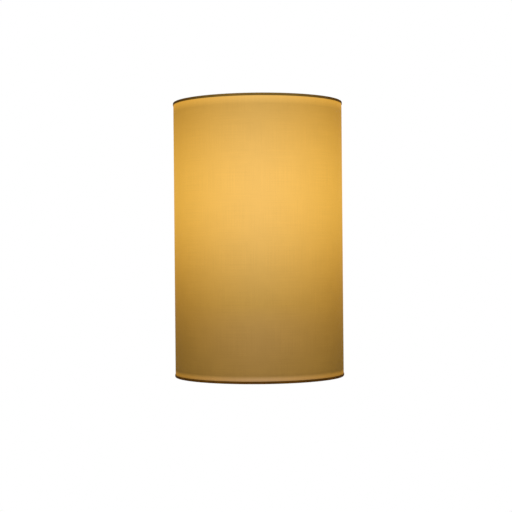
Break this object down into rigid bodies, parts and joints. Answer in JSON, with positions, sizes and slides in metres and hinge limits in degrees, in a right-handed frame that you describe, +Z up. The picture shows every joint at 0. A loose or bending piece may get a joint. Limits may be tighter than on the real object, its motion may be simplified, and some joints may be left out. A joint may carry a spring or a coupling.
{
  "type": "fabric shade wall light",
  "caption": "Wall light with a three-quarter round fabric shade, open at the top and bottom, that lifts off hooks on a steel back plate; upright lampholder with a screw-in lamp.",
  "frame": {"origin": "middle of the back plate's back face, on the wall, level with the middle of the shade", "axes": "+Z up; the wall is the plane Y = 0 and the light stands out from it towards -Y; +X to the viewer's right when facing the wall"},
  "size_m": [0.201, 0.1655, 0.325],
  "materials": {
    "shade_cloth": "fine woven cloth on a stiff backing",
    "shade_lining": "matt white styrene film",
    "binding_tape": "narrow dark woven tape",
    "frame_wire": "white stove enamel on wire",
    "white_enamel": "satin white powder coat",
    "zinc": "zinc plated",
    "brass": "bright brass",
    "nickel": "nickel plated",
    "holder_plastic": "white moulded thermoplastic",
    "holder_ceramic": "unglazed white steatite",
    "black_rubber": "black, matt",
    "block_plastic": "natural polyamide",
    "lamp_opal": "opal diffuser",
    "lamp_white": "white, smooth",
    "lamp_board": "white solder mask on aluminium",
    "lamp_chip": "yellow phosphor",
    "lamp_driver": "green circuit board",
    "lamp_can": "sleeved can",
    "lamp_ferrite": "dark ferrite",
    "lamp_insulator": "black vitrite",
    "live_sleeve": "brown silicone insulation",
    "neutral_sleeve": "blue silicone insulation",
    "earth_sleeve": "green and yellow silicone insulation"
  },
  "bodies": {
    "wall_bracket": {"back_plate": "white_enamel", "plate_flanges": "white_enamel", "shade_hooks": "white_enamel", "holder_arm": "white_enamel", "plate_studs": "zinc", "arm_washers": "zinc", "arm_nuts": "zinc", "nipple": "zinc", "nipple_washer": "zinc", "nipple_locknut": "zinc", "block_studs": "zinc", "block_nuts": "zinc", "block_clamp_screws": "zinc", "terminal_screws": "zinc", "earth_washer": "zinc", "earth_nut": "zinc", "block_inserts": "brass", "holder_terminals": "brass", "contact_rivets": "brass", "centre_contact": "brass", "thread_sleeve": "nickel", "earth_tag": "nickel", "lampholder_cap": "holder_plastic", "lampholder_shell": "holder_plastic", "lampholder_insert": "holder_ceramic", "cable_bushing": "black_rubber", "terminal_block": "block_plastic", "live_lead": "live_sleeve", "neutral_lead": "neutral_sleeve", "earth_lead": "earth_sleeve"},
    "shade": {"shade_fabric": "shade_cloth", "shade_liner": "shade_lining", "top_binding": "binding_tape", "bottom_binding": "binding_tape", "top_ring": "frame_wire", "bottom_ring": "frame_wire", "left_upright": "frame_wire", "right_upright": "frame_wire", "upper_cross_wire": "frame_wire", "lower_cross_wire": "frame_wire"},
    "lamp": {"lamp_screw_cap": "nickel", "lamp_tip_contact": "nickel", "lamp_globe": "lamp_opal", "lamp_housing": "lamp_white", "lamp_led_board": "lamp_board", "lamp_led_chips": "lamp_chip", "lamp_driver_board": "lamp_driver", "lamp_capacitor": "lamp_can", "lamp_choke": "lamp_ferrite", "lamp_cap_insulator": "lamp_insulator"}
  },
  "joints": [
    {"name": "shade_lift", "type": "slide", "parent": "wall_bracket", "child": "shade", "axis": [0, 0, 1], "range_m": [0, 0.013]},
    {"name": "lamp_unscrew", "type": "hinge", "parent": "wall_bracket", "child": "lamp", "pos_m": [0, -0.065, 0], "axis": [0, 0, 1], "range_deg": [0, 900]}
  ]
}
